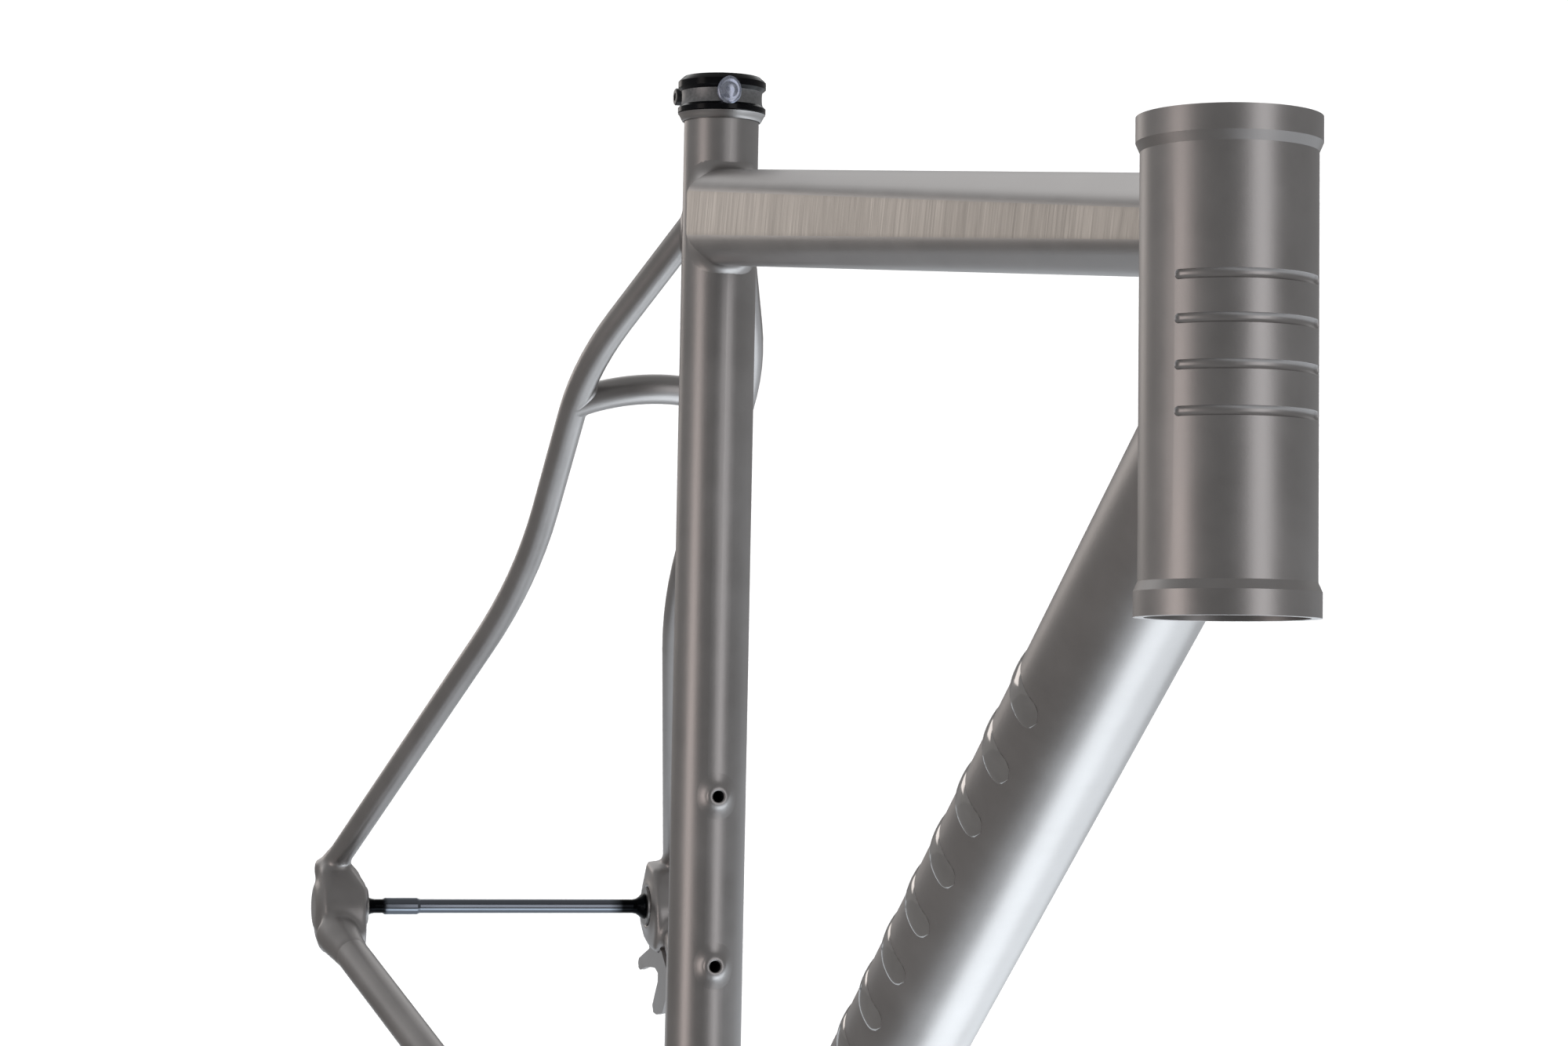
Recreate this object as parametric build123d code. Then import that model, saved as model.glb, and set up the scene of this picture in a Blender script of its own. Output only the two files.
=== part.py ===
from build123d import *
import math
import os

# Titanium bicycle frame with seat collar and rear through axle, millimetres.
# Origin: centre of the bottom bracket. +X forward, +Y to the rider's left, +Z up.
os.makedirs("parts", exist_ok=True)

# ---- driving dimensions ----
SEAT_ANGLE = 73.3          # seat tube from the horizontal, degrees
HEAD_ANGLE = 71.62         # head tube from the horizontal, degrees
HEAD_BOTTOM = (412.31, 0.0, 448.58)   # centre of the lower head tube rim
HEAD_LENGTH = 126.4
HEAD_RIM_R = 23.7          # reinforcing ring at each end
HEAD_MAIN_R = 22.6
HEAD_RIM_H = 6.5
HEAD_CHAMFER = 2.5
HEAD_SEAT_R = 21.0         # 42 mm bearing seat
HEAD_SEAT_DEPTH = 12.0
HEAD_RELIEF_R = 21.3
GROOVE_DEPTHS = (42.0, 53.0, 64.5, 76.0)    # below the upper rim
GROOVE_ROUND = 1.5         # radius of the round-bottomed grooves
GROOVE_CUT = 0.7
GROOVE_HALF_ANGLE = 55.0

SEAT_R = 14.3              # 28.6 mm seat tube
SEAT_BORE_R = 13.6         # 27.2 mm seatpost
SEAT_REAM = 220.0          # reamed length from the top
SEAT_LOW_R = 13.35         # bore below the reamed length
SEAT_TOP = 516.0           # along the seat tube from the origin
SEAT_SLOT_W = 2.5
SEAT_SLOT_L = 30.0

DOWN_R = 19.6
DOWN_WALL = 0.9
DOWN_ANGLE = 51.16
DOWN_AT_HEAD = 50.0        # along the head tube axis, above its lower rim

TOP_AT_HEAD = 98.8         # along the head tube axis, above its lower rim
TOP_AT_SEAT = 465.6        # along the seat tube axis
TOP_WALL = 1.0

BB_R = 20.5
BB_BORE_R = 17.4           # threaded 34.8 mm
BB_W = 68.0

AXLE = (-420.38, 0.0, 56.83)
INNER_FACE = 67.5          # half of the 135 mm between the dropouts
HOOD_IN = 69.4
HOOD_OUT = 90.4
BOSS_OUT = 92.6            # outer face of the ring round the axle
AXLE_HOLE_R = 6.1
INSERT_R = 9.0
THREAD_END = 90.4          # bottom of the threaded hole on the right

STAY_R = 5.6               # seat stays
STAY_WALL = 0.8
STAY_AT_SEAT = 470.6       # where the stays' plane meets the seat tube axis
STAY_DIR = (-0.6144, 0.0, -0.7890)
CHAIN_R = 7.7              # chain stays
CHAIN_WALL = 0.9

BOSS_ON_SEAT = (180.75, 244.75)       # 64 mm apart
BOSS_ON_DOWN = (116.0, 180.0)
BOSS_FLANGE_R = 4.6
BOSS_SLEEVE_R = 3.9
BOSS_BORE_R = 2.1          # M5 tapping size
BOSS_STAND = 1.7
BOSS_IN = 7.0

COLLAR_BOTTOM = 504.6      # along the seat tube
COLLAR_TOP = 518.0
COLLAR_R = 16.8
COLLAR_GROOVE_R = 15.3
COLLAR_BORE_R = 14.5
COLLAR_DOME = 1.2          # rise of the top face to the lip
COLLAR_LIP_R = 13.65

# ---- directions ----
sa, ha, da = (math.radians(v) for v in (SEAT_ANGLE, HEAD_ANGLE, DOWN_ANGLE))
SEAT_UP = Vector(-math.cos(sa), 0, math.sin(sa))
SEAT_FRONT = Vector(math.sin(sa), 0, math.cos(sa))
HEAD_UP = Vector(-math.cos(ha), 0, math.sin(ha))
HEAD_FRONT = Vector(math.sin(ha), 0, math.cos(ha))
DOWN_DIR = Vector(-math.cos(da), 0, -math.sin(da))   # from the head tube down
DOWN_REAR = Vector(-math.sin(da), 0, math.cos(da))   # up and back, square to it
HEAD_LOW = Vector(*HEAD_BOTTOM)
HEAD_TOP = HEAD_LOW + HEAD_UP * HEAD_LENGTH


def rod(start, direction, radius, length):
    """Solid cylinder from start along direction."""
    return extrude(Plane(origin=start, z_dir=direction) * Circle(radius), amount=length)


def pipe(start, direction, outer, inner, length):
    """Straight open tube."""
    return rod(start, direction, outer, length) - rod(start, direction, inner, length)


def main_solid(shape):
    """The largest solid of a boolean result."""
    return max(shape.solids(), key=lambda s: s.volume)


def bent(points, radii, radius):
    """Round bar along straight runs joined by tangent arcs."""
    path = FilletPolyline(*points, radius=radii)
    start = Plane(origin=path @ 0, z_dir=path % 0)
    return sweep(start * Circle(radius), path=path)


def spun(profile, origin, axis):
    """Solid of revolution about axis through origin; profile is (radius, along)."""
    side = Vector(0, 1, 0) if abs(axis.Y) < 0.5 else Vector(1, 0, 0)
    side = (side - axis * side.dot(axis)).normalized()
    plane = Plane(origin=origin, x_dir=side, z_dir=side.cross(axis))
    face = make_face(Polyline(*[plane.from_local_coords((r, a, 0)) for r, a in profile], close=True))
    return revolve(face, axis=Axis(origin, axis), revolution_arc=360)


def save(name, shape):
    export_step(shape, f"parts/{name}.step")


# ---- solid envelopes used to mitre the tubes ----
head_solid = rod(HEAD_LOW - HEAD_UP * 5, HEAD_UP, HEAD_MAIN_R, HEAD_LENGTH + 10)
seat_solid = rod(SEAT_UP * -20, SEAT_UP, SEAT_R, SEAT_TOP + 40)
bb_solid = rod(Vector(0, -BB_W / 2 - 5, 0), Vector(0, 1, 0), BB_R, BB_W + 10)

# ---- head tube: rings at both ends, bearing seats, plain grooves at the front ----
h, c = HEAD_RIM_H, HEAD_CHAMFER
head_profile = [
    (HEAD_SEAT_R, 0), (HEAD_RIM_R, 0), (HEAD_RIM_R, h), (HEAD_MAIN_R, h + c),
    (HEAD_MAIN_R, HEAD_LENGTH - h - c), (HEAD_RIM_R, HEAD_LENGTH - h),
    (HEAD_RIM_R, HEAD_LENGTH), (HEAD_SEAT_R, HEAD_LENGTH),
    (HEAD_SEAT_R, HEAD_LENGTH - HEAD_SEAT_DEPTH),
    (HEAD_RELIEF_R, HEAD_LENGTH - HEAD_SEAT_DEPTH - 1),
    (HEAD_RELIEF_R, HEAD_SEAT_DEPTH + 1), (HEAD_SEAT_R, HEAD_SEAT_DEPTH),
]
head_tube = spun(head_profile, HEAD_LOW, HEAD_UP)
groove_start = HEAD_FRONT.rotate(Axis((0, 0, 0), HEAD_UP), -GROOVE_HALF_ANGLE)
groove_stop = HEAD_FRONT.rotate(Axis((0, 0, 0), HEAD_UP), GROOVE_HALF_ANGLE)
groove_r = HEAD_MAIN_R + GROOVE_ROUND - GROOVE_CUT
for depth in GROOVE_DEPTHS:
    at = HEAD_TOP - HEAD_UP * depth
    ring_plane = Plane(origin=at, x_dir=groove_start, z_dir=groove_start.cross(HEAD_UP))
    cut = ring_plane * Pos(groove_r, 0) * Circle(GROOVE_ROUND)
    head_tube -= revolve(cut, axis=Axis(at, HEAD_UP), revolution_arc=2 * GROOVE_HALF_ANGLE)
    for end in (groove_start, groove_stop):
        head_tube -= Pos(*(at + end * groove_r)) * Sphere(GROOVE_ROUND)
head_tube = main_solid(head_tube)
save("head_tube", head_tube)

# ---- bottom bracket shell ----
bb_shell = pipe(Vector(0, -BB_W / 2, 0), Vector(0, 1, 0), BB_R, BB_BORE_R, BB_W)
save("bottom_bracket_shell", bb_shell)


def boss_solid(root, normal, tube_r):
    """Threaded bottle cage boss: a flange on the tube and a sleeve through its wall."""
    flange = rod(root + normal * (tube_r - 2), normal, BOSS_FLANGE_R, 2 + BOSS_STAND)
    sleeve = rod(root + normal * (tube_r - BOSS_IN), normal, BOSS_SLEEVE_R, BOSS_IN)
    bore = rod(root + normal * (tube_r - BOSS_IN - 5), normal, BOSS_BORE_R, BOSS_IN + 20)
    return flange, sleeve, bore


def boss_hole(root, normal):
    return rod(root, normal, BOSS_SLEEVE_R, 40)


# ---- seat tube: reamed bore, rear slot under the collar, two bottle bosses in front ----
seat_tube = pipe(Vector(0, 0, 0), SEAT_UP, SEAT_R, SEAT_LOW_R, SEAT_TOP) - bb_solid
seat_tube -= rod(SEAT_UP * (SEAT_TOP - SEAT_REAM), SEAT_UP, SEAT_BORE_R, SEAT_REAM + 5)
slot_mid = SEAT_UP * (SEAT_TOP - SEAT_SLOT_L / 2 + 1) - SEAT_FRONT * SEAT_R
seat_tube -= Plane(origin=slot_mid, x_dir=(0, 1, 0), z_dir=SEAT_FRONT) * Box(
    SEAT_SLOT_W, SEAT_SLOT_L + 2, 10)
for s in BOSS_ON_SEAT:
    seat_tube -= boss_hole(SEAT_UP * s, SEAT_FRONT)
seat_tube = main_solid(seat_tube)
save("seat_tube", seat_tube)
for name, s in zip(("lower", "upper"), BOSS_ON_SEAT):
    flange, sleeve, bore = boss_solid(SEAT_UP * s, SEAT_FRONT, SEAT_R)
    save(f"seat_tube_boss_{name}", main_solid((flange - seat_solid) + sleeve - bore))

# ---- down tube ----
down_head = HEAD_LOW + HEAD_UP * DOWN_AT_HEAD
down_len = (Vector(0, 0, 0) - down_head).dot(DOWN_DIR)
down_tube = pipe(down_head, DOWN_DIR, DOWN_R, DOWN_R - DOWN_WALL, down_len)
down_tube = down_tube - head_solid - seat_solid - bb_solid
down_foot = down_head + DOWN_DIR * down_len
for s in BOSS_ON_DOWN:
    down_tube -= boss_hole(down_foot - DOWN_DIR * s, DOWN_REAR)
down_tube = main_solid(down_tube)
save("down_tube", down_tube)
down_solid = rod(down_head, DOWN_DIR, DOWN_R, down_len)
for name, s in zip(("lower", "upper"), BOSS_ON_DOWN):
    flange, sleeve, bore = boss_solid(down_foot - DOWN_DIR * s, DOWN_REAR, DOWN_R)
    save(f"down_tube_boss_{name}", main_solid((flange - down_solid) + sleeve - bore))

# ---- top tube: flat sided, bevelled above and below, taller at the seat tube ----
top_head = HEAD_LOW + HEAD_UP * TOP_AT_HEAD
top_seat = SEAT_UP * TOP_AT_SEAT
TOP_DIR = (top_head - top_seat).normalized()
# half width, half flat width above, half height, upper crease, lower crease
TOP_SECTIONS = {"seat": (13.8, 8.0, 18.1, 12.8, -10.8), "head": (15.0, 7.5, 13.3, 6.0, -6.2)}


def top_section(key, at, inset):
    w, f, hh, up, low = TOP_SECTIONS[key]
    w, hh, up, low = w - inset, hh - inset, up - inset * 0.4, low + inset * 0.4
    f = f - inset * 0.4
    plane = Plane(origin=at, x_dir=(0, 1, 0), z_dir=TOP_DIR)
    flip = 1 if plane.y_dir.Z > 0 else -1
    pts = [(-w, up), (-f, hh), (f, hh), (w, up), (w, low), (f, -hh), (-f, -hh), (-w, low)]
    return plane * make_face(Polyline(*[(x, y * flip) for x, y in pts], close=True))


top_outer = loft([top_section("seat", top_seat, 0), top_section("head", top_head, 0)], ruled=True)
top_inner = loft([top_section("seat", top_seat, TOP_WALL), top_section("head", top_head, TOP_WALL)],
                 ruled=True)
top_tube = main_solid(top_outer - top_inner - head_solid - seat_solid)
save("top_tube", top_tube)

# ---- seat stays and their bridge ----
stay_dir = Vector(*STAY_DIR).normalized()
stay_root = SEAT_UP * STAY_AT_SEAT
stay_front = Vector(-stay_dir.Z, 0, stay_dir.X)
# down the slope, out from the middle, forward of the straight slope
STAY_START, BEND_1 = (0.7, 6.5, 3.0), (96.2, 34.7, 3.2)
BEND_2, STAY_END = (241.7, 32.9, 3.4), (472.5, 81.9, -0.3)


def on_stay(s, y, ahead, side):
    """Point by the stays' slope: s along it, y out from the middle, ahead square to it."""
    return stay_root + stay_dir * s + stay_front * ahead + Vector(0, side * y, 0)


def seat_stay(side, radius):
    pts = [on_stay(*p, side) for p in (STAY_START, BEND_1, BEND_2, STAY_END)]
    return bent(pts, [200, 450], radius)


CHAIN_POINTS = ((-10.0, 26.0, 4.0), (-240.0, 46.5, 31.0), (-392.0, 81.0, 48.4))


def chain_point(i, side):
    x, y, z = CHAIN_POINTS[i]
    return Vector(x, side * y, z)


def chain_stay(side, radius):
    return bent([chain_point(i, side) for i in range(3)], 300, radius)


stay_outer = {s: seat_stay(s, STAY_R) for s in (-1, 1)}
chain_outer = {s: chain_stay(s, CHAIN_R) for s in (-1, 1)}

# ---- dropouts: hooded plates round the axle with sockets for the stays ----
# side outline relative to the axle: forward, up
HOOD_OUTLINE = [(-19, -10), (-18.5, 3), (-12.5, 19.5), (2, 19.5), (9, 13), (16, 5), (21, -6),
                (20, -16.5), (8, -19), (-6, -18.5), (-15, -14.5)]
# across, up: cut from the inner top edge of the right hood
SLOPE_OUTLINE = [(-60, 10), (-69.5, 12), (-72, 15), (-75.5, 19), (-76, 30), (-60, 30)]
axle_at = Vector(*AXLE)


def side_plate(points, y0, y1, side, radius):
    """Plate in a plane parallel to XZ between two distances from the middle."""
    lo, hi = (y0, y1) if side > 0 else (-y1, -y0)
    plane = Plane(origin=axle_at + Vector(0, lo, 0), x_dir=(1, 0, 0), z_dir=(0, -1, 0))
    face = make_face(Polyline(*points, close=True))
    face = fillet(face.vertices(), radius)
    return extrude(plane * face, amount=-(hi - lo))


def dropout(side):
    out = Vector(0, side, 0)
    hood = side_plate(HOOD_OUTLINE, HOOD_IN, HOOD_OUT, side, 3.0)
    rims = [e for e in hood.edges() if abs(abs(e.center().Y) - HOOD_OUT) < 1e-3]
    hood = fillet(rims, 1.6)
    ear = side_plate([(-13.0, 12), (-13.0, 19.5), (-6.0, 19.5), (-6.0, 12)], HOOD_OUT - 4, HOOD_OUT + 1.4,
                     side, 1.0)
    barrel = spun([(0, INNER_FACE + 0.3), (10.4, INNER_FACE + 0.3), (13.0, INNER_FACE + 2.6),
                   (13.0, HOOD_OUT - 6), (11.4, BOSS_OUT - 1), (10.4, BOSS_OUT), (0, BOSS_OUT)],
                  axle_at, out)
    s_end = on_stay(*STAY_END, side)
    s_dir = (on_stay(*BEND_2, side) - s_end).normalized()
    socket_s = spun([(0, -14), (STAY_R + 0.9, -14), (STAY_R + 0.9, -1.5), (STAY_R + 0.25, 3),
                     (STAY_R + 0.25, 6), (0, 6)], s_end, s_dir)
    c_end = chain_point(2, side)
    c_dir = (chain_point(1, side) - c_end).normalized()
    socket_c = spun([(0, -14), (10, -14), (9.6, -5), (CHAIN_R + 0.8, 4), (CHAIN_R + 0.4, 10), (0, 10)],
                    c_end, c_dir)
    # the left hole goes through for the axle's head, the right one is blind
    deep = 100 if side > 0 else THREAD_END
    hole = rod(axle_at + out * 60, out, INSERT_R, deep - 60)
    inside = Pos(*(axle_at + out * (INNER_FACE + 0.3 - 20))) * Box(120, 40, 120)
    body = hood + ear + barrel + socket_s
    if side < 0:
        # the right one slopes down from the stay to the ring round the axle
        slope = make_face(Polyline(*SLOPE_OUTLINE, close=True))
        slope_plane = Plane(origin=axle_at - Vector(40, 0, 0), x_dir=(0, 1, 0), z_dir=(1, 0, 0))
        body -= extrude(slope_plane * slope, amount=80)
    return main_solid(body + socket_c - hole - inside)


drop = {s: dropout(s) for s in (-1, 1)}
WORD = {-1: "right", 1: "left"}


# ---- flat tab under the left dropout: a hooked ear and a longer finger ----
TAB_OUTLINE = [(8, -14), (-2.5, -18.5), (-0.1, -21.8), (-11.8, -29.4), (-18.6, -34.0), (-19.8, -36.4),
               (-18.0, -38.6), (-14.5, -38.4), (-9.7, -36.0), (-2.7, -32.3), (6.4, -28.9), (14, -26.2),
               (20.4, -26.2), (21.8, -30.2), (18.6, -37.3), (15.6, -44.8), (18.6, -47.2), (24.5, -46),
               (36, -40.5), (41, -30), (41, -20), (24, -14)]
tab = side_plate(TAB_OUTLINE, 72.0, 74.2, 1, 0.9)
tab = main_solid(tab - chain_outer[1] - drop[1])
save("dropout_tab_left", tab)

for side in (-1, 1):
    word = WORD[side]
    save(f"dropout_{word}", drop[side])
    stay = stay_outer[side] - seat_stay(side, STAY_R - STAY_WALL)
    stay = main_solid(stay - seat_solid - drop[side])
    save(f"seatstay_{word}", stay)
    chain = chain_outer[side] - chain_stay(side, CHAIN_R - CHAIN_WALL)
    chain = main_solid(chain - bb_solid - drop[side])
    save(f"chainstay_{word}", chain)

# arched bridge between the seat stays
BRIDGE_AHEAD, BRIDGE_R, BRIDGE_WALL = 3.2, 6.0, 1.0
ARCH_TOP, ARCH_END = (109.2, 0, BRIDGE_AHEAD), (120.0, 34.0, BRIDGE_AHEAD)
arch = ThreePointArc(on_stay(*ARCH_END, -1), on_stay(*ARCH_TOP, 1), on_stay(*ARCH_END, 1))
arch_face = Plane(origin=arch @ 0, z_dir=arch % 0)
bridge = sweep(arch_face * Circle(BRIDGE_R), path=arch)
bridge -= sweep(arch_face * Circle(BRIDGE_R - BRIDGE_WALL), path=arch)
bridge = main_solid(bridge - stay_outer[1] - stay_outer[-1])
save("seatstay_bridge", bridge)

# straight bridge between the chain stays
CHAIN_BRIDGE = Vector(-92.0, 0, 13.6)
chain_bridge = pipe(CHAIN_BRIDGE - Vector(0, 30, 0), Vector(0, 1, 0), 6.0, 5.0, 60)
chain_bridge = main_solid(chain_bridge - chain_outer[1] - chain_outer[-1])
save("chainstay_bridge", chain_bridge)

# ---- axle inserts in the dropouts ----
def insert_profile(outer):
    return [(AXLE_HOLE_R, INNER_FACE), (INSERT_R, INNER_FACE), (INSERT_R, outer), (AXLE_HOLE_R, outer)]


save("axle_insert_right", spun(insert_profile(THREAD_END), axle_at, Vector(0, -1, 0)))
save("axle_insert_left", spun(insert_profile(BOSS_OUT + 0.2), axle_at, Vector(0, 1, 0)))

# ---- through axle: drawn out to the left, threaded end in the right dropout ----
AXLE_THREAD_R, AXLE_R, AXLE_WAIST_R, AXLE_THICK_R = 5.8, 5.9, 3.3, 3.95
HEAD_AT = BOSS_OUT + 2.2
axle_profile = [
    (0, -89.0), (AXLE_THREAD_R - 0.8, -89.0), (AXLE_THREAD_R, -88.0), (AXLE_THREAD_R, -68.6),
    (4.9, -67.4), (4.1, -66.4), (3.6, -65.2), (AXLE_WAIST_R, -63.6), (AXLE_WAIST_R, -59.8),
    (AXLE_THICK_R, -58.6),
    (AXLE_THICK_R, -43.4), (AXLE_WAIST_R, -42.0), (AXLE_WAIST_R, 61.5), (3.7, 63.4), (4.6, 64.8),
    (AXLE_R, 66.2), (AXLE_R, HEAD_AT), (9.0, HEAD_AT), (9.0, HEAD_AT + 6), (8.0, HEAD_AT + 7),
    (0, HEAD_AT + 7),
]
thru_axle = spun(axle_profile, axle_at, Vector(0, 1, 0))
hex_plane = Plane(origin=axle_at + Vector(0, HEAD_AT + 7, 0), x_dir=(1, 0, 0), z_dir=(0, 1, 0))
thru_axle -= extrude(hex_plane * RegularPolygon(3.0, 6, major_radius=False), amount=-6.0)
save("thru_axle", main_solid(thru_axle))
save("axle_washer", pipe(axle_at + Vector(0, BOSS_OUT + 0.35, 0), Vector(0, 1, 0), 10.0, 6.15, 1.6))

# ---- seat collar: two rims with a groove, lip over the tube, ears and bolt behind ----
b, t = COLLAR_BOTTOM, COLLAR_TOP
collar_profile = [
    (COLLAR_BORE_R, b - 2.4), (COLLAR_BORE_R + 0.5, b - 2.4), (COLLAR_R - 0.6, b), (COLLAR_R, b + 0.8),
    (COLLAR_R, b + 2.6),
    (COLLAR_GROOVE_R, b + 4.0), (COLLAR_GROOVE_R, t - 4.6), (COLLAR_R, t - 3.2),
    (COLLAR_R, t - 0.8), (COLLAR_R - 0.8, t), (COLLAR_LIP_R + 1, t + COLLAR_DOME),
    (COLLAR_LIP_R, t + COLLAR_DOME), (COLLAR_LIP_R, SEAT_TOP + 0.2),
    (COLLAR_BORE_R, SEAT_TOP + 0.2),
]
collar = spun(collar_profile, Vector(0, 0, 0), SEAT_UP)
EAR_MID, BOLT_OUT = 513.8, 19.8
collar_hollow = rod(SEAT_UP * (b - 5), SEAT_UP, COLLAR_BORE_R, 40)
ear_plane = Plane(origin=SEAT_UP * EAR_MID - SEAT_FRONT * 19.2, x_dir=(0, 1, 0), z_dir=SEAT_UP)
ears = ear_plane * Box(20.0, 10.0, 9.0)
ears = fillet(ears.edges().filter_by(Axis.Y), 2.0)
ears -= collar_hollow
slit = ear_plane * Box(2.0, 24.0, 40.0)
bolt_at = SEAT_UP * EAR_MID - SEAT_FRONT * BOLT_OUT
bolt_hole = rod(bolt_at - Vector(0, 30, 0), Vector(0, 1, 0), 2.2, 60)
save("seat_collar", main_solid(collar + ears - slit - bolt_hole))

bolt_profile = [(0, -13.8), (2.9, -13.8), (3.3, -13.4), (3.3, -10.1), (1.95, -10.1), (1.95, 12.2),
                (0, 12.2)]
bolt = spun(bolt_profile, bolt_at, Vector(0, 1, 0))
key_plane = Plane(origin=bolt_at - Vector(0, 13.8, 0), x_dir=(1, 0, 0), z_dir=(0, -1, 0))
bolt -= extrude(key_plane * RegularPolygon(1.5, 6, major_radius=False), amount=-2.3)
save("collar_bolt", main_solid(bolt))
save("collar_nut", pipe(bolt_at + Vector(0, 10.05, 0), Vector(0, 1, 0), 3.6, 2.05, 2.6))
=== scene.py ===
"""Titanium bicycle frame: materials, welds, finish marks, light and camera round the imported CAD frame."""

import math

import bpy
from mathutils import Matrix, Vector


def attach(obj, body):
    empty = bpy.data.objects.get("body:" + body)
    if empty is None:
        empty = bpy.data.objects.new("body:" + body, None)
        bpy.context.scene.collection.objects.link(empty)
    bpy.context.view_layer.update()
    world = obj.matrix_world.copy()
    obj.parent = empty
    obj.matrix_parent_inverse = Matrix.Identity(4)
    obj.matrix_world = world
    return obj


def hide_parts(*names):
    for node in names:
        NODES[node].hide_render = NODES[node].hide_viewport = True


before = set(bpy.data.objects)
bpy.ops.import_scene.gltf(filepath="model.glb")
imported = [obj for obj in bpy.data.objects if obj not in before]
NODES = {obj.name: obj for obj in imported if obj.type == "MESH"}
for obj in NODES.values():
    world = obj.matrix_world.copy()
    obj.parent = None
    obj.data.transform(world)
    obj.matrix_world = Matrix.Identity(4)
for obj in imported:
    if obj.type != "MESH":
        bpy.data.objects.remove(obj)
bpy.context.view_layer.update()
MM = 0.001

# ---- the frame's own geometry, as in the CAD model, in millimetres ----
SEAT_ANGLE, HEAD_ANGLE, DOWN_ANGLE = (math.radians(a) for a in (73.3, 71.62, 51.16))
SEAT_UP = Vector((-math.cos(SEAT_ANGLE), 0, math.sin(SEAT_ANGLE)))
SEAT_FRONT = Vector((math.sin(SEAT_ANGLE), 0, math.cos(SEAT_ANGLE)))
HEAD_UP = Vector((-math.cos(HEAD_ANGLE), 0, math.sin(HEAD_ANGLE)))
DOWN_DIR = Vector((-math.cos(DOWN_ANGLE), 0, -math.sin(DOWN_ANGLE)))
DOWN_REAR = Vector((-math.sin(DOWN_ANGLE), 0, math.cos(DOWN_ANGLE)))
RIGHT = Vector((0, -1, 0))
ORIGIN = Vector((0, 0, 0))
HEAD_LOW = Vector((412.31, 0, 448.58))
HEAD_R, SEAT_R, DOWN_R, BB_R = 22.6, 14.3, 19.6, 20.5
DOWN_HEAD = HEAD_LOW + HEAD_UP * 50.0
TOP_HEAD = HEAD_LOW + HEAD_UP * 98.8
TOP_SEAT = SEAT_UP * 465.6
TOP_DIR = (TOP_HEAD - TOP_SEAT).normalized()
STAY_R, CHAIN_R = 5.6, 7.7
STAY_ROOT = SEAT_UP * 470.6
STAY_DIR = Vector((-0.6144, 0, -0.7890)).normalized()
STAY_FRONT = Vector((-STAY_DIR.z, 0, STAY_DIR.x))
# corners of a seat stay: down the slope, out from the middle, forward of the straight slope
STAY_VERTICES = ((0.7, 6.5, 3.0), (96.2, 34.7, 3.2), (241.7, 32.9, 3.4), (472.5, 81.9, -0.3))
STAY_BENDS = (200, 450)
# corners of a chain stay: x, out from the middle, z
CHAIN_VERTICES = ((-10.0, 26.0, 4.0), (-240.0, 46.5, 31.0), (-392.0, 81.0, 48.4))
CHAIN_BEND = 300


def on_stay(s, y, ahead, side):
    """Point s down the seat stays' slope, y out from the middle and ahead forward of it."""
    return STAY_ROOT + STAY_DIR * s + STAY_FRONT * ahead + Vector((0, side * y, 0))


def rounded(points, radii, step=4.0):
    """Points along straight runs joined by tangent arcs, with the direction at each."""
    out = [(points[0], (points[1] - points[0]).normalized())]
    for i, radius in enumerate(radii, start=1):
        a, b = (points[i] - points[i - 1]).normalized(), (points[i + 1] - points[i]).normalized()
        turn = a.angle(b)
        reach = radius * math.tan(turn / 2)
        centre = points[i] + (b - a).normalized() * (radius / math.cos(turn / 2))
        spoke = points[i] - a * reach - centre
        count = max(2, int(radius * turn / step))
        axle = a.cross(b).normalized()
        for k in range(count + 1):
            swing = Matrix.Rotation(turn * k / count, 3, axle)
            out.append((centre + swing @ spoke, swing @ a))
    out.append((points[-1], (points[-1] - points[-2]).normalized()))
    return out


def on_chain_stay(corner, side):
    """Point where a chain stay's straight runs would meet, or one of its ends."""
    x, y, z = CHAIN_VERTICES[corner]
    return Vector((x, side * y, z))


WORDS = {-1: "right", 1: "left"}
SEAT_STAYS = {side: rounded([on_stay(*v, side) for v in STAY_VERTICES], STAY_BENDS) for side in WORDS}
CHAIN_STAYS = {side: rounded([on_chain_stay(n, side) for n in range(3)], [CHAIN_BEND]) for side in WORDS}


# ---- material helpers ----
def new_material(name):
    """Material with nodes, its tree and its Principled shader."""
    mat = bpy.data.materials.new(name)
    mat.use_nodes = True
    tree = mat.node_tree
    return mat, tree, tree.nodes["Principled BSDF"]


def link(tree, a, out, b, into):
    """Join output out of node a to input into of node b."""
    tree.links.new(a.outputs[out], b.inputs[into])


def noise(tree, coords, scale, detail=4.0, rough=0.55, stretch=(1, 1, 1)):
    """Noise texture on stretched coordinates."""
    mapping = tree.nodes.new("ShaderNodeMapping")
    mapping.inputs["Scale"].default_value = stretch
    tree.links.new(coords, mapping.inputs["Vector"])
    node = tree.nodes.new("ShaderNodeTexNoise")
    node.inputs["Scale"].default_value = scale
    node.inputs["Detail"].default_value = detail
    node.inputs["Roughness"].default_value = rough
    link(tree, mapping, "Vector", node, "Vector")
    return node


def ramp(tree, source, out, low, high, colour_low, colour_high):
    """Blend from one colour to another as source runs from low to high."""
    node = tree.nodes.new("ShaderNodeValToRGB")
    node.color_ramp.elements[0].position = low
    node.color_ramp.elements[1].position = high
    node.color_ramp.elements[0].color = (*colour_low, 1)
    node.color_ramp.elements[1].color = (*colour_high, 1)
    tree.links.new(source.outputs[out], node.inputs["Fac"])
    return node


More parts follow.
